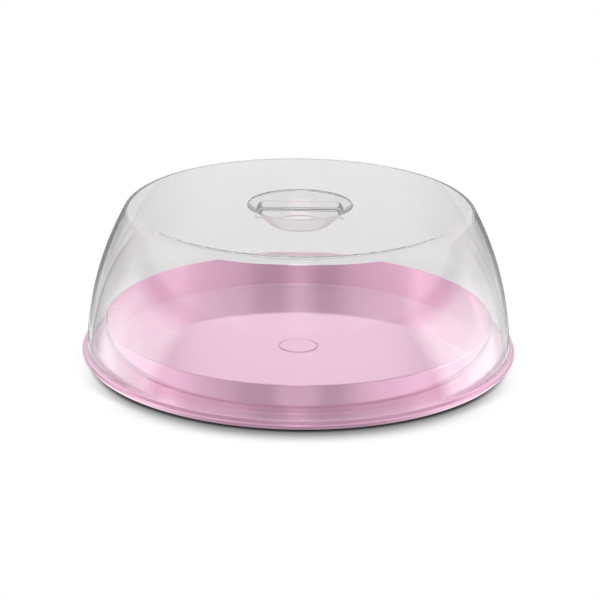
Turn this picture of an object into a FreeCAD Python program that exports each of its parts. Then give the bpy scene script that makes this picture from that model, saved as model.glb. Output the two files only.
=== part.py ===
import FreeCAD, Part
import math
import os

# Round cake carrier: a tray with an upright collar, a clear dome that stands in the
# tray's rim, and a grip bar that bridges a bowl sunk into the dome's top.
# Millimetres, +Z up. The origin is on the table, on the axis of the round parts.

# Tray: foot ring and floor
foot_ring_width = 4.0
foot_ring_height = 1.0
floor_wall = 1.5
centre_disc_radius = 14.0
centre_disc_height = 0.5
centre_disc_slope = 1.5

# Tray: collar that stands round the cake
collar_radius = 147.6
collar_height = 25.8
collar_wall = 1.6
collar_draft = 0.5

# Tray: flange with the ledge that carries the dome, the lip round it and the stepped edge
ledge_rise = 4.55
flange_wall = 1.8
lip_wall = 2.0
lip_height = 0.8
plinth_step = 1.5
plinth_height = 3.8
plinth_taper = 3.0
plinth_gap = 0.5
plinth_wall = 6.0

# Tray: rounded corners
floor_corner = 0.5
ledge_corner = 0.3
collar_edge = 0.7
lip_edge = 0.5
plinth_edge = 0.7
disc_corner = 2.0

# Dome: foot, curved side, shoulder and flat top
dome_radius = 161.0
dome_height = 108.95
dome_wall = 2.4
dome_foot_land = 1.0
dome_foot_edge = 0.4
dome_side_radius = 235.5
dome_side_sink = 8.55
dome_shoulder_radius = 9.0
dome_seat_clearance = 0.5

# Dome: bowl for the fingers, sunk into the top
bowl_mouth_radius = 39.0
bowl_floor_radius = 21.0
bowl_depth = 15.0
bowl_rim_radius = 1.5
bowl_floor_corner = 6.0

# Grip bar, and the sockets that hold its two legs
bar_length = 65.0
bar_width = 19.0
bar_thickness = 3.2
bar_sink = 0.1
bar_drop = 9.0
bar_bend_radius = 5.5
bar_edge = 1.5
socket_clearance = 0.2
socket_wall = 1.2
socket_floor = 1.2

# Space above the dome that the bowl's cutter reaches into
cut_overrun = 5.0

# Levels and radii that follow from the sizes above
floor_top = foot_ring_height + floor_wall
ledge_top = floor_top + ledge_rise
flange_under = ledge_top - flange_wall
collar_top = floor_top + collar_height
lip_top = ledge_top + lip_height
plinth_top = plinth_gap + plinth_height
lip_inner = dome_radius + dome_seat_clearance
lip_outer = lip_inner + lip_wall
plinth_outer = lip_outer + plinth_step
dome_top = ledge_top + dome_height
bowl_floor = dome_top - bowl_depth
bar_top = dome_top - bar_sink
bar_foot = bar_top - bar_drop

full_turn = 360.0
axis_point = FreeCAD.Vector(0, 0, 0)
up = FreeCAD.Vector(0, 0, 1)


def section_point(radius, height):
    """A point of a half section, which lies in the XZ plane."""
    return FreeCAD.Vector(radius, 0, height)


def rounded_run(corners):
    """Lines from the first corner to the last, with a tangent arc at each rounded corner between.

    A corner is (radius from the axis, height, rounding), and a rounding of 0 leaves it sharp.
    """
    points = [section_point(corner[0], corner[1]) for corner in corners]
    edges = []
    last = points[0]
    for before, here, after, corner in zip(points, points[1:], points[2:], corners[1:]):
        rounding = corner[2]
        if rounding == 0:
            edges.append(Part.LineSegment(last, here).toShape())
            last = here
            continue
        back = (before - here).normalize()
        ahead = (after - here).normalize()
        half_angle = back.getAngle(ahead) / 2
        inward = (back + ahead).normalize()
        start = here + back * (rounding / math.tan(half_angle))
        end = here + ahead * (rounding / math.tan(half_angle))
        middle = here + inward * (rounding / math.sin(half_angle) - rounding)
        edges.append(Part.LineSegment(last, start).toShape())
        edges.append(Part.Arc(start, middle, end).toShape())
        last = end
    edges.append(Part.LineSegment(last, points[-1]).toShape())
    return edges


def line(start, end):
    """A straight edge between two section points."""
    return Part.LineSegment(section_point(*start), section_point(*end)).toShape()


def arc(centre, radius, first_angle, last_angle):
    """An arc edge in the section plane, from one angle above the horizontal to another."""
    angles = (first_angle, (first_angle + last_angle) / 2, last_angle)
    points = [
        section_point(centre[0] + radius * math.cos(angle), centre[1] + radius * math.sin(angle))
        for angle in angles
    ]
    return Part.Arc(*points).toShape()


def turned(edges):
    """The solid that a closed half section sweeps round the axis."""
    return Part.Face(Part.Wire(edges)).revolve(axis_point, up, full_turn)


def base_tray():
    """Floor, collar, ledge, lip, stepped edge and foot ring, moulded in one piece."""
    foot_ring_inner = collar_radius - foot_ring_width
    plinth_inner = plinth_outer - plinth_wall
    collar_inner = collar_radius - collar_wall
    disc_top = floor_top + centre_disc_height
    corners = [
        (0, disc_top),
        (centre_disc_radius, disc_top, disc_corner),
        (centre_disc_radius + centre_disc_slope, floor_top, disc_corner),
        (collar_inner - collar_draft, floor_top, floor_corner),
        (collar_inner, collar_top, collar_edge),
        (collar_radius, collar_top, collar_edge),
        (collar_radius + collar_draft, ledge_top, ledge_corner),
        (lip_inner, ledge_top, 0),
        (lip_inner, lip_top, lip_edge),
        (lip_outer, lip_top, lip_edge),
        (lip_outer, plinth_top, 0),
        (plinth_outer, plinth_top, 0),
        (plinth_outer - plinth_taper, plinth_gap, plinth_edge),
        (plinth_inner, plinth_gap, 0),
        (plinth_inner, flange_under, 0),
        (collar_radius, flange_under, 0),
        (collar_radius, 0, 0),
        (foot_ring_inner, 0, 0),
        (foot_ring_inner, foot_ring_height, 0),
        (0, foot_ring_height),
    ]
    edges = rounded_run(corners)
    edges.append(line((0, foot_ring_height), (0, disc_top)))
    return turned(edges)


# The side of the dome is one long arc, and the shoulder is an arc that touches it and the flat top.
side_rise = dome_foot_land + dome_side_sink
side_centre = (
    dome_radius - math.sqrt(dome_side_radius**2 - side_rise**2),
    ledge_top - dome_side_sink,
)
shoulder_height = dome_top - dome_shoulder_radius
shoulder_reach = dome_side_radius - dome_shoulder_radius
shoulder_angle = math.asin((shoulder_height - side_centre[1]) / shoulder_reach)
shoulder_centre = (side_centre[0] + shoulder_reach * math.cos(shoulder_angle), shoulder_height)
quarter_turn = math.pi / 2

# The bowl's slanted wall, and how far its thickness moves the corners at its two ends
bowl_slant = math.atan2(bowl_depth, bowl_mouth_radius - bowl_floor_radius)
bowl_corner_shift = dome_wall * math.tan(bowl_slant / 2)


def bowl_upper_run():
    """The upper face from the shoulder over the rim and down to the middle of the bowl."""
    return rounded_run([
        (shoulder_centre[0], dome_top),
        (bowl_mouth_radius, dome_top, bowl_rim_radius),
        (bowl_floor_radius, bowl_floor, bowl_floor_corner),
        (0, bowl_floor),
    ])


def dome_shell():
    """Foot, side, shoulder, top and bowl as one wall."""
    side_start = math.asin(side_rise / dome_side_radius)
    inner_side_radius = dome_side_radius - dome_wall
    foot_inner = dome_radius - dome_wall
    foot_middle = dome_radius - dome_wall / 2
    inner_start = (
        side_centre[0] + inner_side_radius * math.cos(side_start),
        side_centre[1] + inner_side_radius * math.sin(side_start),
    )
    under_top = dome_top - dome_wall
    under_floor = bowl_floor - dome_wall
    edges = rounded_run([
        (foot_middle, ledge_top),
        (dome_radius, ledge_top, dome_foot_edge),
        (dome_radius, ledge_top + dome_foot_land),
    ])
    edges.append(arc(side_centre, dome_side_radius, side_start, shoulder_angle))
    edges.append(arc(shoulder_centre, dome_shoulder_radius, shoulder_angle, quarter_turn))
    edges += bowl_upper_run()
    edges.append(line((0, bowl_floor), (0, under_floor)))
    edges += rounded_run([
        (0, under_floor),
        (bowl_floor_radius + bowl_corner_shift, under_floor, bowl_floor_corner + dome_wall),
        (bowl_mouth_radius + bowl_corner_shift, under_top, 0),
        (shoulder_centre[0], under_top),
    ])
    inner_shoulder_radius = dome_shoulder_radius - dome_wall
    edges.append(arc(shoulder_centre, inner_shoulder_radius, quarter_turn, shoulder_angle))
    edges.append(arc(side_centre, inner_side_radius, shoulder_angle, side_start))
    edges += rounded_run([
        inner_start,
        (foot_inner, ledge_top, dome_foot_edge),
        (foot_middle, ledge_top),
    ])
    return turned(edges)


def bowl_space():
    """Everything above the bowl's upper face, which the sockets keep clear."""
    above = dome_top + cut_overrun
    edges = bowl_upper_run()
    edges.append(line((0, bowl_floor), (0, above)))
    edges.append(line((0, above), (shoulder_centre[0], above)))
    edges.append(line((shoulder_centre[0], above), (shoulder_centre[0], dome_top)))
    return turned(edges)


def leg_block(side, margin, rounding, bottom, top):
    """An upright block with rounded corners round one leg of the bar, wider by a margin."""
    length = bar_thickness + margin * 2
    width = bar_width + margin * 2
    leg_middle = side * (bar_length - bar_thickness) / 2
    corner = FreeCAD.Vector(leg_middle - length / 2, -width / 2, bottom)
    block = Part.makeBox(length, width, top - bottom, corner)
    upright = [edge for edge in block.Edges if abs(edge.tangentAt(edge.FirstParameter).z) > math.cos(1)]
    return block.makeFillet(rounding, upright)


def dome_cover():
    """The clear dome with a socket under the bowl's wall for each leg of the bar."""
    cover = dome_shell()
    space = bowl_space()
    sides = (-1, 1)
    for side in sides:
        margin = socket_clearance + socket_wall
        boss = leg_block(side, margin, bar_edge + margin, bar_foot - socket_floor, dome_top)
        cover = cover.fuse(boss.cut(space))
    for side in sides:
        rounding = bar_edge + socket_clearance
        cover = cover.cut(leg_block(side, socket_clearance, rounding, bar_foot, dome_top))
    return cover.removeSplitter()


def grip_bar():
    """A strap that bends down at both ends into legs, with all its long edges rounded."""
    half = bar_length / 2
    inside = half - bar_thickness
    under = bar_top - bar_thickness
    inner_bend = bar_bend_radius - bar_thickness
    edges = rounded_run([
        (-half, bar_foot),
        (-half, bar_top, bar_bend_radius),
        (half, bar_top, bar_bend_radius),
        (half, bar_foot),
    ])
    edges.append(line((half, bar_foot), (inside, bar_foot)))
    edges += rounded_run([
        (inside, bar_foot),
        (inside, under, inner_bend),
        (-inside, under, inner_bend),
        (-inside, bar_foot),
    ])
    edges.append(line((-inside, bar_foot), (-half, bar_foot)))
    strap = Part.Face(Part.Wire(edges)).extrude(FreeCAD.Vector(0, bar_width, 0))
    strap.translate(FreeCAD.Vector(0, -bar_width / 2, 0))
    rims = [edge for edge in strap.Edges if is_long_rim(edge)]
    return strap.makeFillet(bar_edge, rims)


def is_long_rim(edge):
    """True for an edge of the strap's two side faces, apart from the ends of the legs."""
    along_side = edge.BoundBox.YLength < bar_edge
    at_foot = edge.BoundBox.ZMax < bar_foot + bar_edge
    return along_side and not at_foot


os.makedirs("parts", exist_ok=True)
pieces = {"base_tray": base_tray(), "dome_cover": dome_cover(), "grip_bar": grip_bar()}
for name, piece in pieces.items():
    piece.exportStep(f"parts/{name}.step")
    solids = len(piece.Solids)
    print(f"{name}: {solids} solid, valid {piece.isValid()}, {piece.Volume / 1000:.1f} cm3")
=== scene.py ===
# %% [markdown]
# # A cake carrier with a pink tray and a clear dome
#
# The carrier comes apart into three pieces: a glossy pink tray, a clear dome that stands on the
# tray's ledge, and a clear grip bar that bridges a bowl sunk into the dome's top. Their solids were
# modelled first, at real size, and they come in here as named nodes on two bodies, the tray and the
# dome. This lesson gives each node a finer skin and a finish, and then sets up the light.

# %% Load the frame
import math

import bmesh
import bpy
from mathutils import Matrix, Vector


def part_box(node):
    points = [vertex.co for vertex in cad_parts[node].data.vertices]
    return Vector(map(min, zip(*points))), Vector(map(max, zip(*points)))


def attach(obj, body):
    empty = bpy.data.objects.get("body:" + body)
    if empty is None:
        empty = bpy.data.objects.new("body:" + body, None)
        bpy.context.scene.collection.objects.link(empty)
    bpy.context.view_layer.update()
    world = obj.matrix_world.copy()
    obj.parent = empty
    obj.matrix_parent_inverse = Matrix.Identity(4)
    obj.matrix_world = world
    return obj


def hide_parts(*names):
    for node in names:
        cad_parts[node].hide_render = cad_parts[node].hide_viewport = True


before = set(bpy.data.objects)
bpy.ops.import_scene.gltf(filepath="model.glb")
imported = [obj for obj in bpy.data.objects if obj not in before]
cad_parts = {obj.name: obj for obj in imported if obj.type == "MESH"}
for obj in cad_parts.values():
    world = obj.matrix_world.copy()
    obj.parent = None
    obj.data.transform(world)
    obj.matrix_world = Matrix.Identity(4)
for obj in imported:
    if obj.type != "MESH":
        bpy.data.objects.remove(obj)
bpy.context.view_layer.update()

# %% [markdown]
# ## Camera
#
# The picture looks down on the carrier by about 19 degrees through a long lens, so the far rim of
# the tray looks almost as wide as the near one. Distance, height, pitch and focal length were found
# together, from the outlines of the tray and the dome. The picture leans a little, so the camera is
# rolled by about 0.7 degrees and its view is shifted by a pixel. A focal length in pixels becomes a
# lens in millimetres when it is multiplied by the sensor's width and divided by the picture's.

# %% Camera
picture_width_px = 600
focal_length_px = 2227.6
sensor_width_mm = 36.0
# Metres, radians, and a share of the picture's width
camera_distance = 1.600
camera_height = 0.602
camera_pitch = 0.338
camera_roll = 0.0120
camera_shift = 0.0018

bpy.ops.object.camera_add(
    location=(0, -camera_distance, camera_height),
    rotation=(math.pi / 2 - camera_pitch, 0, 0),
)
camera = bpy.context.object
camera.rotation_mode = "ZYX"
camera.rotation_euler.z = camera_roll
camera.data.shift_x = camera_shift
camera.data.sensor_width = sensor_width_mm
camera.data.lens = focal_length_px * sensor_width_mm / picture_width_px
bpy.context.scene.camera = camera
print("lens in millimetres:", round(camera.data.lens, 1))

# %% [markdown]
# ## Turning an outline
#
# The tray and the dome are round, so each is an outline turned about the upright axis, as on a
# lathe. A cylinder primitive could be extruded and scaled ring by ring, but a turned outline keeps
# every wall thickness and every rounded corner in one short list. A plane primitive is merged to
# one vertex, the vertex is extruded from point to point, and the line is spun through a full turn.

# %% Outline points with rounded corners
widest_step = math.radians(9)
arc_sag = 0.00001


def arc_points(centre, radius, start, end):
    """Points along an arc, both ends included, with chords that stray from it by arc_sag at most."""
    arc_step = min(widest_step, math.sqrt(8 * arc_sag / radius))
    count = max(2, math.ceil(abs(end - start) / arc_step))
    angles = [start + (end - start) * step / count for step in range(count + 1)]
    return [(centre[0] + radius * math.cos(a), centre[1] + radius * math.sin(a)) for a in angles]


def rounded(corners):
    """Corners of (radius, height, rounding) as points, with an arc at each rounded corner."""
    points = [corners[0][:2]]
    for before, here, after in zip(corners, corners[1:], corners[2:]):
        rounding = here[2]
        if rounding == 0:
            points.append(here[:2])
            continue
        back = math.atan2(before[1] - here[1], before[0] - here[0])
        ahead = math.atan2(after[1] - here[1], after[0] - here[0])
        turn_angle = math.remainder(ahead - back, 2 * math.pi)
        middle = back + turn_angle / 2
        reach = rounding / abs(math.sin(turn_angle / 2))
        centre = (here[0] + reach * math.cos(middle), here[1] + reach * math.sin(middle))
        spread = math.copysign((math.pi - abs(turn_angle)) / 2, turn_angle)
        opposite = middle + math.pi
        points += arc_points(centre, rounding, opposite + spread, opposite - spread)
    points.append(corners[-1][:2])
    return points


# %% Drawing and spinning an outline
round_steps = 360
merge_distance = 1e-6


def draw(points):
    """One vertex, extruded along the points in the XZ plane. The new mesh stays in edit mode."""
    bpy.ops.object.select_all(action="DESELECT")
    bpy.ops.mesh.primitive_plane_add()
    bpy.ops.object.mode_set(mode="EDIT")
    bpy.ops.mesh.select_mode(type="VERT")
    bpy.ops.mesh.merge(type="CENTER")
    bpy.ops.transform.translate(value=(points[0][0], 0, points[0][1]))
    for here, there in zip(points, points[1:]):
        step = (there[0] - here[0], 0, there[1] - here[1])
        bpy.ops.mesh.extrude_vertices_move(TRANSFORM_OT_translate={"value": step})
    return bpy.context.object


def close_up(piece, name):
    """Merges what lies in one place, turns the faces outwards and goes back to object mode."""
    bpy.ops.mesh.select_all(action="SELECT")
    bpy.ops.mesh.remove_doubles(threshold=merge_distance)
    bpy.ops.mesh.normals_make_consistent(inside=False)
    bpy.ops.object.mode_set(mode="OBJECT")
    piece.name = name
    print(name, "has", len(piece.data.polygons), "faces")
    return piece


def turned(name, points):
    """The round piece that an outline makes in a full turn about the upright axis."""
    piece = draw(points)
    bpy.ops.mesh.select_all(action="SELECT")
    bpy.ops.mesh.spin(steps=round_steps, angle=2 * math.pi, center=(0, 0, 0), axis=(0, 0, 1))
    return close_up(piece, name)


# %% [markdown]
# ## Smooth shading that keeps flats flat
#
# Smooth shading alone tilts the normals of a wide flat beside a small rounding, and a glossy floor
# would then mirror its surroundings as if it were dished. The Weighted Normal modifier lets the
# larger face decide, so the floor stays flat and the roundings still catch the light.

# %% Polish a piece
sharp_angle = math.radians(30)


def polish(piece):
    """Smooth shading with sharp corners kept, and normals that follow the larger faces."""
    bpy.ops.object.select_all(action="DESELECT")
    piece.select_set(True)
    bpy.context.view_layer.objects.active = piece
    bpy.ops.object.shade_smooth_by_angle(angle=sharp_angle)
    modifier = piece.modifiers.new("flats", "WEIGHTED_NORMAL")
    modifier.keep_sharp = True
    bpy.ops.object.modifier_apply(modifier=modifier.name)
    return piece


# %% [markdown]
# ## Tray
#
# The tray is one moulding. From the middle outwards it has a low disc where the plastic was fed in,
# a flat floor, an upright collar round the cake, a ledge for the dome, a lip round the dome's foot,
# a stepped outer edge that tapers in towards the table, and underneath a foot ring. Its widest and
# highest sizes come from the frame, and the small roundings at the lip and the outer edge are added
# here, because they draw the thin bright lines along the front.

# %% Tray sizes
_, tray_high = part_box("base_tray")
plinth_outer = tray_high.x
collar_top = tray_high.z
dome_low, dome_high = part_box("dome_cover")
dome_radius = dome_high.x
ledge_top = dome_low.z
dome_top = dome_high.z

foot_ring_width = 0.0040
foot_ring_height = 0.0010
floor_top = 0.0025
disc_radius = 0.0140
disc_height = 0.0005
disc_slope = 0.0015
collar_radius = 0.1476
collar_wall = 0.0016
collar_draft = 0.0005
flange_wall = 0.0018
lip_clearance = 0.0005
lip_wall = 0.0020
lip_height = 0.0008
plinth_gap = 0.0005
plinth_height = 0.0038
plinth_taper = 0.0030
plinth_wall = 0.0060
print("tray", round(2 * plinth_outer, 4), "m across, collar", round(collar_top, 4), "m high")

# %% Tray piece
disc_corner = 0.0020
floor_corner = 0.0005
collar_edge = 0.0007
ledge_corner = 0.0003
lip_edge = 0.0002
plinth_edge = 0.0007
small_edge = 0.0002


def make_tray():
    """The tray's half section, from the middle of the floor round to the middle underneath."""
    disc_top = floor_top + disc_height
    collar_inner = collar_radius - collar_wall
    lip_inner = dome_radius + lip_clearance
    lip_outer = lip_inner + lip_wall
    lip_top = ledge_top + lip_height
    plinth_top = plinth_gap + plinth_height
    plinth_inner = plinth_outer - plinth_wall
    flange_under = ledge_top - flange_wall
    foot_ring_inner = collar_radius - foot_ring_width
    return turned("tray", rounded([
        (0, disc_top),
        (disc_radius, disc_top, disc_corner),
        (disc_radius + disc_slope, floor_top, disc_corner),
        (collar_inner - collar_draft, floor_top, floor_corner),
        (collar_inner, collar_top, collar_edge),
        (collar_radius, collar_top, collar_edge),
        (collar_radius + collar_draft, ledge_top, ledge_corner),
        (lip_inner, ledge_top, small_edge),
        (lip_inner, lip_top, lip_edge),
        (lip_outer, lip_top, lip_edge),
        (lip_outer, plinth_top, small_edge),
        (plinth_outer, plinth_top, small_edge),
        (plinth_outer - plinth_taper, plinth_gap, plinth_edge),
        (plinth_inner, plinth_gap, small_edge),
        (plinth_inner, flange_under, small_edge),
        (collar_radius, flange_under, small_edge),
        (collar_radius, 0, small_edge),
        (foot_ring_inner, 0, small_edge),
        (foot_ring_inner, foot_ring_height, small_edge),
        (0, foot_ring_height),
    ]))


tray = polish(make_tray())

# %% [markdown]
# ## Dome
#
# The dome is a clear shell with a short straight foot, one long curved side, a rounded shoulder, a
# flat top and a bowl for the fingers. A clear shell needs both its faces: light bends where it
# enters the wall and again where it leaves, and that draws the fine dark lines at the shoulder and
# the rim. So the outline runs from the bowl out along the inside, round the foot and back over the
# outside, and the inside is the outside moved in by the wall.

# %% Dome sizes
dome_wall = 0.0024
foot_land = 0.0010
foot_edge = 0.0004
side_radius = 0.2355
side_sink = 0.00855
shoulder_radius = 0.0090
bowl_mouth_radius = 0.0390
bowl_floor_radius = 0.0210
bowl_depth = 0.0150
bowl_rim_radius = 0.0015
bowl_floor_corner = 0.0060

side_rise = foot_land + side_sink
side_centre = (
    dome_radius - math.sqrt(side_radius**2 - side_rise**2),
    ledge_top - side_sink,
)
shoulder_reach = side_radius - shoulder_radius
shoulder_angle = math.asin((dome_top - shoulder_radius - side_centre[1]) / shoulder_reach)
shoulder_centre = (
    side_centre[0] + shoulder_reach * math.cos(shoulder_angle),
    dome_top - shoulder_radius,
)
bowl_floor = dome_top - bowl_depth
bowl_slant = math.atan2(bowl_depth, bowl_mouth_radius - bowl_floor_radius)
print("dome", round(2 * dome_radius, 4), "m across, top at", round(dome_top, 4), "m")

# %% Dome shell


def bowl_run(depth):
    """From the middle of the bowl out to the shoulder, at a depth under the upper face."""
    shift = depth * math.tan(bowl_slant / 2)
    return rounded([
        (0, bowl_floor - depth),
        (bowl_floor_radius + shift, bowl_floor - depth, bowl_floor_corner + depth),
        (bowl_mouth_radius + shift, dome_top - depth, max(0, bowl_rim_radius - depth)),
        (shoulder_centre[0], dome_top - depth),
    ])


def make_dome():
    """The shell's outline: along the inside down to the foot, and back over the outside."""
    inner_side = side_radius - dome_wall
    side_start = math.asin(side_rise / side_radius)
    inner_points = arc_points(side_centre, inner_side, shoulder_angle, side_start)
    quarter = math.pi / 2
    outline = bowl_run(dome_wall)[:-1]
    outline += arc_points(shoulder_centre, shoulder_radius - dome_wall, quarter, shoulder_angle)
    outline += inner_points[1:-1]
    outline += rounded([
        inner_points[-1],
        (dome_radius - dome_wall, ledge_top, foot_edge),
        (dome_radius, ledge_top, foot_edge),
        (dome_radius, ledge_top + foot_land),
    ])
    outline += arc_points(side_centre, side_radius, side_start, shoulder_angle)[1:]
    outline += arc_points(shoulder_centre, shoulder_radius, shoulder_angle, quarter)[1:]
    outline += reversed(bowl_run(0)[:-1])
    return turned("dome", outline)


dome = make_dome()

# %% [markdown]
# ## Sockets for the grip bar
#
# The bar can't be moulded together with the closed bowl under it, so its legs stand in two sockets.
# A socket is a block with rounded corners under the bowl's wall. The block is trimmed half way
# through the wall, joined to the shell, and then a pocket the size of the leg is cut into it from
# above. Trimming inside the wall keeps the block's top from lying in the same place as the bowl's
# face, which would leave a torn skin.

# %% Bar sizes
bar_low, bar_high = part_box("grip_bar")
bar_length = bar_high.x - bar_low.x
bar_width = bar_high.y - bar_low.y
bar_top = bar_high.z
bar_foot = bar_low.z
bar_thickness = 0.0032
bar_bend_radius = 0.0055
bar_edge = 0.0015
socket_clearance = 0.0002
socket_wall = 0.0012
socket_floor = 0.0012
corner_segments = 4
print("bar", round(bar_length, 4), "m long and", round(bar_width, 4), "m wide")

# %% Blocks and booleans


def select_edges(piece, wanted):
    """Selects the edges of the mesh in edit mode for which wanted(edge) is true."""
    bpy.ops.mesh.select_mode(type="EDGE")
    bpy.ops.mesh.select_all(action="DESELECT")
    mesh = bmesh.from_edit_mesh(piece.data)
    chosen = [edge for edge in mesh.edges if wanted(edge)]
    for edge in chosen:
        edge.select_set(True)
    bmesh.update_edit_mesh(piece.data)
    return len(chosen)


def is_upright(edge):
    """True for an edge that runs along Z."""
    first, second = edge.verts
    return (first.co - second.co).xy.length < merge_distance


def leg_block(name, side, margin, bottom, top):
    """A block with rounded upright corners round one leg of the bar, wider by a margin."""
    bpy.ops.object.select_all(action="DESELECT")
    bpy.ops.mesh.primitive_cube_add(size=1)
    block = bpy.context.object
    bpy.ops.object.mode_set(mode="EDIT")
    bpy.ops.transform.resize(
        value=(bar_thickness + 2 * margin, bar_width + 2 * margin, top - bottom)
    )
    middle = side * (bar_length - bar_thickness) / 2
    bpy.ops.transform.translate(value=(middle, 0, (bottom + top) / 2))
    select_edges(block, is_upright)
    bpy.ops.mesh.bevel(offset=bar_edge + margin, segments=corner_segments, affect="EDGES")
    return close_up(block, name)


def combine(piece, other, operation):
    """A boolean of two pieces, applied to the first. The second is used up."""
    modifier = piece.modifiers.new("combine", "BOOLEAN")
    modifier.operation = operation
    modifier.object = other
    bpy.context.view_layer.objects.active = piece
    bpy.ops.object.modifier_apply(modifier=modifier.name)
    bpy.data.objects.remove(other)
    return piece


# %% Sockets
cutter_overrun = 0.005
above_dome = dome_top + cutter_overrun
pocket_floor_gap = 0.0001


def trim_space():
    """Everything above the middle of the top wall, as a round cutter."""
    outer = shoulder_centre[0]
    outline = bowl_run(dome_wall / 2) + [(outer, above_dome), (0, above_dome)]
    return turned("trim_space", outline)


for side in (-1, 1):
    boss_margin = socket_clearance + socket_wall
    boss = leg_block("boss", side, boss_margin, bar_foot - socket_floor, dome_top)
    boss = combine(boss, trim_space(), "DIFFERENCE")
    dome = combine(dome, boss, "UNION")
for side in (-1, 1):
    pocket = leg_block("pocket", side, socket_clearance, bar_foot - pocket_floor_gap, above_dome)
    dome = combine(dome, pocket, "DIFFERENCE")
dome = polish(dome)
print("dome with sockets:", len(dome.data.polygons), "faces")

# %% [markdown]
# ## Grip bar
#
# The bar is a flat strap bent down at both ends. Its side view is one closed outline, filled with a
# face and extruded across by the strap's width. A bevel then rounds the long rims, which on clear
# plastic show as the dark lines along the bar's back and front.

# %% Grip bar piece


def is_long_rim(edge):
    """True for an edge of the strap's two side faces, apart from the ends of the legs."""
    first, second = edge.verts
    across = abs(first.co.y - second.co.y) > merge_distance
    at_foot = max(first.co.z, second.co.z) < bar_foot + merge_distance
    return not across and not at_foot


def make_bar():
    """The strap's side view, filled, extruded by its width, with rounded rims."""
    half = bar_length / 2
    inside = half - bar_thickness
    under = bar_top - bar_thickness
    inner_bend = bar_bend_radius - bar_thickness
    points = rounded([
        (-half, bar_foot, 0),
        (-half, bar_top, bar_bend_radius),
        (half, bar_top, bar_bend_radius),
        (half, bar_foot, 0),
        (inside, bar_foot, 0),
        (inside, under, inner_bend),
        (-inside, under, inner_bend),
        (-inside, bar_foot, 0),
        (-half, bar_foot, 0),
    ])
    bar = draw(points)
    bpy.ops.mesh.select_all(action="SELECT")
    bpy.ops.mesh.remove_doubles(threshold=merge_distance)
    bpy.ops.mesh.edge_face_add()
    bpy.ops.mesh.extrude_region_move(TRANSFORM_OT_translate={"value": (0, bar_width, 0)})
    bpy.ops.mesh.select_all(action="SELECT")
    bpy.ops.transform.translate(value=(0, -bar_width / 2, 0))
    bpy.ops.mesh.normals_make_consistent(inside=False)
    select_edges(bar, is_long_rim)
    bpy.ops.mesh.bevel(offset=bar_edge, segments=corner_segments, affect="EDGES")
    return close_up(bar, "bar")


bar = polish(make_bar())

# %% [markdown]
# ## Writing shader maths as sums
#
# A shader is a web of nodes, and a web is hard to read in a script. The class below stands for one
# output in that web. Sums and products of such outputs add Math nodes by themselves, and one method
# adds any other node, with its settings first and then the values or links of its sockets.

# %% A socket with arithmetic


class Socket:
    """One output of a node tree. Arithmetic on it adds Math nodes."""

    def __init__(self, tree, output=None):
        self.tree = tree
        self.output = output

    def node(self, kind, inputs=None, output=0, stops=None, **settings):
        """A new node: its settings, its ramp stops, then the values or links of its sockets."""
        made = self.tree.nodes.new(kind)
        for name, setting in settings.items():
            setattr(made, name, setting)
        if stops:
            ramp = made.color_ramp.elements
            ramp[0].position, ramp[1].position = stops[0][0], stops[-1][0]
            for position, _ in stops[1:-1]:
                ramp.new(position)
            for stop, (_, level) in zip(ramp, stops):
                stop.color = (level, level, level, 1)
        for name, value in (inputs or {}).items():
            if isinstance(value, Socket):
                self.tree.links.new(value.output, made.inputs[name])
            else:
                made.inputs[name].default_value = value
        return Socket(self.tree, made.outputs[output] if made.outputs else None)

    def math(self, operation, *values):
        """A Math node with this output as its first value."""
        inputs = dict(enumerate((self, *values)))
        return self.node("ShaderNodeMath", inputs, operation=operation)

    def smooth(self, start, end):
        """0 before start and 1 after end, with a smooth step between them."""
        ends = {"Value": self, "From Min": start, "From Max": end}
        return self.node("ShaderNodeMapRange", ends, interpolation_type="SMOOTHSTEP")

    def __add__(self, other):
        return self.math("ADD", other)

    def __sub__(self, other):
        return self.math("SUBTRACT", other)

    def __mul__(self, other):
        return self.math("MULTIPLY", other)

    def __rsub__(self, other):
        return self.node("ShaderNodeMath", {0: other, 1: self}, operation="SUBTRACT")

    __radd__ = __add__
    __rmul__ = __mul__


def new_finish(name):
    """An empty material, and a socket to start its nodes from."""
    material = bpy.data.materials.new(name)
    material.use_nodes = True
    material.node_tree.nodes.clear()
    return material, Socket(material.node_tree)


# %% Helpers for finishes
# A count of faces that is above this is at least one
least_count = 0.5


def blend(factor, first, second):
    """A colour that goes from the first to the second as the factor goes from 0 to 1."""
    # The node's sockets 6 and 7 and its output 2 are the ones for colours
    colours = {"Factor": factor, 6: first, 7: second}
    return factor.node("ShaderNodeMix", colours, output=2, data_type="RGBA")


def noise(place, scale, detail):
    """A noise between 0 and 1 with a number of features to the metre."""
    return place.node("ShaderNodeTexNoise", {"Vector": place, "Scale": scale, "Detail": detail})


def light_path(start, measure):
    """What a light ray has met on its way, such as how often it was mirrored."""
    return start.node("ShaderNodeLightPath", output=measure)


def mirrored_before(start):
    """1 for light that another face has mirrored on its way, and 0 otherwise."""
    return light_path(start, "Glossy Depth").math("GREATER_THAN", least_count)


def put_on(piece, material):
    """Gives a piece its finish."""
    piece.data.materials.append(material)
    print(piece.name, "has", material.name, "with", len(material.node_tree.nodes), "nodes")
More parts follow.
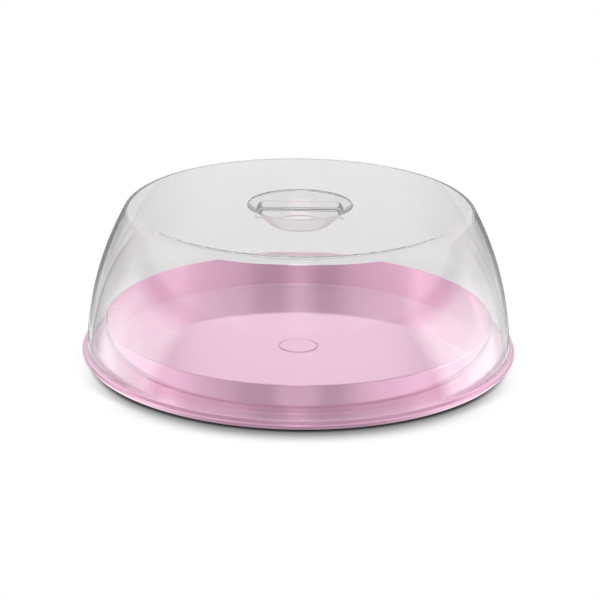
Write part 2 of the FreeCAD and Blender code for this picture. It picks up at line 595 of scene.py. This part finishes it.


# %% [markdown]
# ## Pearl pink
#
# The tray's plastic holds fine mica, so it mirrors its surroundings in pink under a clear skin that
# mirrors them in white. A metallic base with a coat does both: where one looks straight at a face it
# is a full pink, and at a flat angle it pales. The mica lies a little unevenly, which a soft cloud
# of two close pinks and a fine grain in the roughness show. Pink mirrored in pink would come out too
# deep, so light that was mirrored before meets a paler pink, and so does light that has come through
# more than one wall of the plastic. Both are painted lightening: paler copies of the pink that stand
# in for brighter reflections and for less shade from the dome.

# %% Pearl pink finish
pink_deep = (0.85, 0.462, 0.655, 1)
pink_pale = (0.88, 0.502, 0.693, 1)
# Painted lightening: paler pinks for mirrored light and for light seen through a second wall
pink_lightened_for_mirrored = (0.93, 0.80, 0.86, 1)
pink_lightened_seen_through = (0.86, 0.62, 0.74, 1)
pink_metallic = 0.85
pink_roughness = 0.06
grain_roughness = 0.03
coat_weight = 0.5
coat_roughness = 0.03
# Features to the metre, and detail
mica_cloud = (14.0, 3.0)
mica_grain = (700.0, 2.0)
# A wall bends light twice, so a count above this has met a second wall
bends_in_one_wall = 2.5


def make_pearl_pink():
    """Metallic pink with a clear coat, and a slight unevenness in colour and gloss."""
    material, start = new_finish("pearl_pink")
    place = start.node("ShaderNodeTexCoord", output="Object")
    colour = blend(noise(place, *mica_cloud), pink_deep, pink_pale)
    colour = blend(mirrored_before(start), colour, pink_lightened_for_mirrored)
    bends = light_path(start, "Transmission Depth")
    colour = blend(bends.math("GREATER_THAN", bends_in_one_wall), colour, pink_lightened_seen_through)
    skin = start.node(
        "ShaderNodeBsdfPrincipled",
        {
            "Base Color": colour,
            "Metallic": pink_metallic,
            "Roughness": pink_roughness + grain_roughness * noise(place, *mica_grain),
            "Coat Weight": coat_weight,
            "Coat Roughness": coat_roughness,
        },
    )
    start.node("ShaderNodeOutputMaterial", {"Surface": skin})
    return material


put_on(tray, make_pearl_pink())

# %% [markdown]
# ## Clear plastic
#
# The dome and the bar are a clear polished plastic, a very little grey. Glass shading bends the
# light and mirrors it by the angle of view. It would also throw a dark shadow on the tray, because
# the light would have to find its way through two bent faces, so for shadow rays the skin is plain
# transparent. The same goes for light that the tray has mirrored: it passes a wall straight in and
# straight out, and of the light that is trapped inside the dome's wall a share is let out. The bar is
# thick and keeps it all. Seen edge-on the plastic is darker, since light runs further inside it.
# Moulding leaves a faint unevenness in the gloss, which a noise in the roughness gives.

# %% Clear plastic finish
clear_tint = (0.850, 0.853, 0.852, 1)
clear_tint_worn = (0.840, 0.843, 0.842, 1)
clear_tint_edge = (0.46, 0.462, 0.461, 1)
clear_face_tint = (0.984, 0.986, 0.985, 1)
clear_ior = 1.53
clear_roughness = 0.02
clear_cloud = (9.0, 3.0)
clear_grain = (160.0, 3.0)
grain_shows = (0.45, 0.9)
edge_facing = (0.60, 0.92)
faces_of_a_wall = 2.0
dome_straight_share = 0.30
bar_straight_share = 0.0


def clear_wall(start):
    """The plastic as it bends light: a little grey, darker edge-on, with a faint grain."""
    place = start.node("ShaderNodeTexCoord", output="Object")
    colour = blend(noise(place, *clear_cloud), clear_tint, clear_tint_worn)
    edge_on = start.node("ShaderNodeLayerWeight", output="Facing").smooth(*edge_facing)
    return start.node(
        "ShaderNodeBsdfPrincipled",
        {
            "Base Color": blend(edge_on, colour, clear_tint_edge),
            "Roughness": noise(place, *clear_grain).smooth(*grain_shows) * clear_roughness,
            "IOR": clear_ior,
            "Transmission Weight": 1.0,
        },
    )


def make_clear_plastic(name, straight_share):
    """Clear plastic for walls of a real thickness, transparent for shadow rays."""
    material, start = new_finish(name)
    straight = start.node("ShaderNodeBsdfTransparent", {"Color": clear_face_tint})
    inside = start.node("ShaderNodeNewGeometry", output="Backfacing")
    straight_faces = light_path(start, "Transparent Depth").math("MODULO", faces_of_a_wall)
    trapped = inside * (1 - straight_faces).math("GREATER_THAN", least_count)
    passing = mirrored_before(start) * (1 - trapped * (1 - straight_share))
    plastic = start.node("ShaderNodeMixShader", {0: passing, 1: clear_wall(start), 2: straight})
    for_shadow = light_path(start, "Is Shadow Ray")
    either = start.node("ShaderNodeMixShader", {0: for_shadow, 1: plastic, 2: straight})
    start.node("ShaderNodeOutputMaterial", {"Surface": either})
    return material


put_on(dome, make_clear_plastic("clear_plastic", dome_straight_share))
put_on(bar, make_clear_plastic("clear_bar", bar_straight_share))

# %% [markdown]
# ## Studio
#
# The carrier stands on a white floor in a grey studio. What a glossy tray and a clear dome show is
# mostly their surroundings, so the studio has rows of cards, painted on the world by azimuth and
# elevation as seen from the carrier. Lamps and real cards would do the same, but a painted level
# can be set for each direction that a face mirrors. A low row draws the upright bands on the front
# of the collar, and a high row those on the inside of its back. Bright cards at the sides, which
# slant with height, give the dome its pale flanks, and a strip low down at the sides lights the lip.
# The back is bright by elevation and shows in the tray's floor, and the ground pales with distance.
# A window high up in front shows in the dome, and one thin dark line runs up the dome's left.

# %% Cards
# Azimuth in degrees from the camera's side, positive to the right, and the level of the card there
low_cards = [
    (-180, 0.6), (-149, 0.75), (-113, 1.0), (-95, 1.2), (-77, 1.35), (-51, 0.95), (-39, 0.82),
    (-28, 0.63), (-16, 0.63), (-8, 0.91), (8, 0.89), (16, 0.63), (23, 0.66), (39, 1.05), (51, 1.2),
    (77, 1.4), (95, 1.1), (113, 0.68), (149, 0.55), (180, 0.55),
]
side_cards = [
    (-180, 0.3), (-150, 0.3), (-141, 0.4), (-135, 0.75), (-130, 0.25), (-124, 0.4), (-115, 1.7),
    (-105, 2.7), (-76, 2.7), (-67, 0.42), (67, 0.42), (77, 3.8), (96, 3.7), (112, 2.4), (123, 1.0),
    (128, 0.9), (131, 0.5), (134, 0.7), (141, 0.4), (150, 0.3), (180, 0.3),
]
high_cards = [
    (-180, 0.9), (-130, 0.75), (-106, 1.0), (-80, 1.5), (-69, 1.1), (-40, 0.9), (-33, 0.82),
    (-20, 0.58), (-13, 0.58), (0, 0.88), (13, 0.58), (26, 0.62), (33, 0.8), (40, 0.86), (62, 1.0),
    (78, 1.28), (104, 1.1), (127, 1.0), (180, 0.9),
]
# Elevation in degrees, and the level of the back there
back_cards = [
    (-90, 0.42), (8, 0.42), (12, 1.2), (15.7, 1.2), (18.3, 1.0), (19.3, 1.2), (26, 1.17), (34, 0.8),
    (90, 0.8),
]
full_turn = 360
half_turn = 180


def card_levels(angle, span, cards):
    """The level of a row of cards, blended from one card to the next, where angle has a span."""
    share = angle * (1 / span) + 0.5
    stops = [(place / span + 0.5, level) for place, level in cards]
    return angle.node("ShaderNodeValToRGB", {"Fac": share}, stops=stops)


print("cards:", [len(cards) for cards in (low_cards, side_cards, high_cards, back_cards)])

# %% Walls, back and ground
wall_level = 0.42
flank_level = 2.1
ground_level = 0.47
ground_gain = 0.75
back_dimming_share = 0.25
side_slant = 0.8
# Degrees between which one part of the studio fades into the next, in elevation
low_row_ends = (-18.5, -17)
side_row_ends = (2.5, 11)
high_row_starts = (12, 15.5)
back_starts = (4, 8)
flank_ends = (-20.2, -19.7)
ground_pales = (-72, -36)
ground_ends = (-24, -21)
# The same in degrees of azimuth, away from the camera's side or from the middle of the back
behind_starts = (140, 160)
flank_starts = (80, 105)
back_middle = (2.3, 4.8)


def studio_level(azimuth, elevation):
    """How bright the walls, the back and the ground are in a direction from the carrier."""
    aside = azimuth.math("ABSOLUTE")
    behind = aside.smooth(*behind_starts)
    below = 1 - elevation.smooth(*low_row_ends)
    beside = (1 - below) * (1 - elevation.smooth(*side_row_ends))
    above = elevation.smooth(*high_row_starts) * (1 - behind)
    slanted = azimuth + azimuth.math("SIGN") * side_slant * elevation
    level = wall_level + below * (card_levels(azimuth, full_turn, low_cards) - wall_level)
    level = level + beside * (card_levels(slanted, full_turn, side_cards) - wall_level)
    level = level + above * (card_levels(azimuth, full_turn, high_cards) - wall_level)
    off_middle = (half_turn - aside).smooth(*back_middle)
    back = card_levels(elevation, half_turn, back_cards) * (1 - back_dimming_share * off_middle)
    level = level + behind * elevation.smooth(*back_starts) * (back - wall_level)
    flank = aside.smooth(*flank_starts) * (1 - elevation.smooth(*flank_ends))
    level = level + flank * (flank_level - level)
    ground = ground_level + ground_gain * elevation.smooth(*ground_pales)
    return ground + elevation.smooth(*ground_ends) * (level - ground)


# %% Ceiling, window and dark line
overhead_level = 1.0
overhead_starts = (40, 60)
window_level = 3.0
window_half_width = (6, 9)
window_bottom = (42, 44)
window_top = (54, 56)
line_azimuth = -132.7
line_slant = 0.875
line_half_width = (0.8, 1.8)
line_bottom = (-20, -18)
line_top = (5, 8)


def with_ceiling(level, azimuth, elevation):
    """The level with an even ceiling, a window high up in front and a thin dark line at the left."""
    level = level + elevation.smooth(*overhead_starts) * (overhead_level - level)
    across = 1 - azimuth.math("ABSOLUTE").smooth(*window_half_width)
    window = across * elevation.smooth(*window_bottom) * (1 - elevation.smooth(*window_top))
    level = level + window * window_level
    off_line = (azimuth - line_slant * elevation - line_azimuth).math("ABSOLUTE")
    line = (1 - off_line.smooth(*line_half_width)) * (1 - elevation.smooth(*line_top))
    return level * (1 - line * elevation.smooth(*line_bottom))


# %% World


def make_world():
    """A world that has the studio's level in each direction."""
    world = bpy.data.worlds.new("studio")
    bpy.context.scene.world = world
    world.use_nodes = True
    world.node_tree.nodes.clear()
    start = Socket(world.node_tree)
    direction = start.node("ShaderNodeTexCoord", output="Generated")
    x, y, z = (start.node("ShaderNodeSeparateXYZ", {0: direction}, output=axis) for axis in "XYZ")
    azimuth = x.math("ARCTAN2", 0.0 - y) * math.degrees(1)
    elevation = z.math("ARCSINE") * math.degrees(1)
    level = with_ceiling(studio_level(azimuth, elevation), azimuth, elevation)
    sky = start.node("ShaderNodeBackground", {"Color": level})
    start.node("ShaderNodeOutputWorld", {"Surface": sky})
    print("studio has", len(world.node_tree.nodes), "nodes")


make_world()

# %% [markdown]
# ## Floor
#
# The floor is plain white, and the carrier's contact shadow is painted into that white from ambient
# occlusion: a painted shadow, stronger in front than at the sides. The front of the collar would
# mirror nothing but the floor. In a studio the table is small and the collar mirrors the cards beyond
# it, so here the floor lets light through that has already been mirrored once, dimmed in a ring close
# to the tray by a painted shade that stands for the tray's shadow on the table.

# %% Floor
floor_size = 60.0
shadow_reach = 0.025
shadow_samples = 8
shadow_depth = 5.1
shadow_least_share = 0.07
shadow_front = (0.045, 0.125)
# How much cover still leaves the floor white, beside the carrier and in front of it
white_until = (0.32, 0.04)
contact_depth = 0.8
contact_front = (0.03, 0.06)
contact_cover = (0.68, 0.85)
# The ring where mirrored light is dimmed by a painted shade, in metres from the middle
painted_shadow_ring_colour = (0.5, 0.5, 0.5, 1)
ring_start = (0.164, 0.168)
ring_end = (0.178, 0.186)


def painted_floor_shadow(start, place):
    """Painted shadow: how much of its white the floor keeps, less where the carrier covers it, mostly
    in front.
    """
    openness = start.node(
        "ShaderNodeAmbientOcclusion",
        {"Distance": shadow_reach},
        output="AO",
        samples=shadow_samples,
    )
    forward = 0.0 - start.node("ShaderNodeSeparateXYZ", {0: place}, output="Y")
    beside, in_front = white_until
    ends = {"Value": forward, "From Max": plinth_outer, "To Min": beside, "To Max": in_front}
    covered = 1 - openness - start.node("ShaderNodeMapRange", ends)
    strength = shadow_least_share + forward.smooth(*shadow_front) * (1 - shadow_least_share)
    contact = (1 - openness).smooth(*contact_cover) * forward.smooth(*contact_front)
    # Painted shadow: the darkness taken out of the floor's white glow
    dark = covered.math("MAXIMUM", 0.0) * strength * shadow_depth + contact * contact_depth
    return (0.0 - dark).math("EXPONENT")


def make_floor():
    """A white plane with a painted soft shadow in front, which mirrored light passes through."""
    bpy.ops.object.select_all(action="DESELECT")
    bpy.ops.mesh.primitive_plane_add(size=floor_size)
    floor = bpy.context.object
    floor.name = "floor"
    material, start = new_finish("white_floor")
    place = start.node("ShaderNodeTexCoord", output="Object")
    white = start.node("ShaderNodeEmission", {"Color": painted_floor_shadow(start, place)})
    far = start.node("ShaderNodeVectorMath", {0: place}, output="Value", operation="LENGTH")
    ring = far.smooth(*ring_start) - far.smooth(*ring_end)
    clear = start.node("ShaderNodeBsdfTransparent")
    # Painted shade: mirrored light is dimmed here, as if by the tray's shadow on the table
    dim_by_painted_shadow = start.node("ShaderNodeBsdfTransparent", {"Color": painted_shadow_ring_colour})
    passing = start.node("ShaderNodeMixShader", {0: ring, 1: clear, 2: dim_by_painted_shadow})
    either = start.node("ShaderNodeMixShader", {0: mirrored_before(start), 1: white, 2: passing})
    start.node("ShaderNodeOutputMaterial", {"Surface": either})
    material.cycles.emission_sampling = "NONE"
    put_on(floor, material)


make_floor()

# %% View
bpy.context.scene.view_settings.view_transform = "Standard"
print("view transform:", bpy.context.scene.view_settings.view_transform)

# %% [markdown]
# ## Hand over to the frame
#
# Each new piece stands for the node it was modelled after and moves with that node's body: the tray
# with the tray, the dome and its bar with the dome.

# %% Ride and replace
for piece, body, node, slot in (
    (tray, "tray", "base_tray", "pink_gloss"),
    (dome, "dome", "dome_cover", "clear_plastic"),
    (bar, "dome", "grip_bar", "clear_plastic"),
):
    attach(piece, body)
    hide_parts(node)
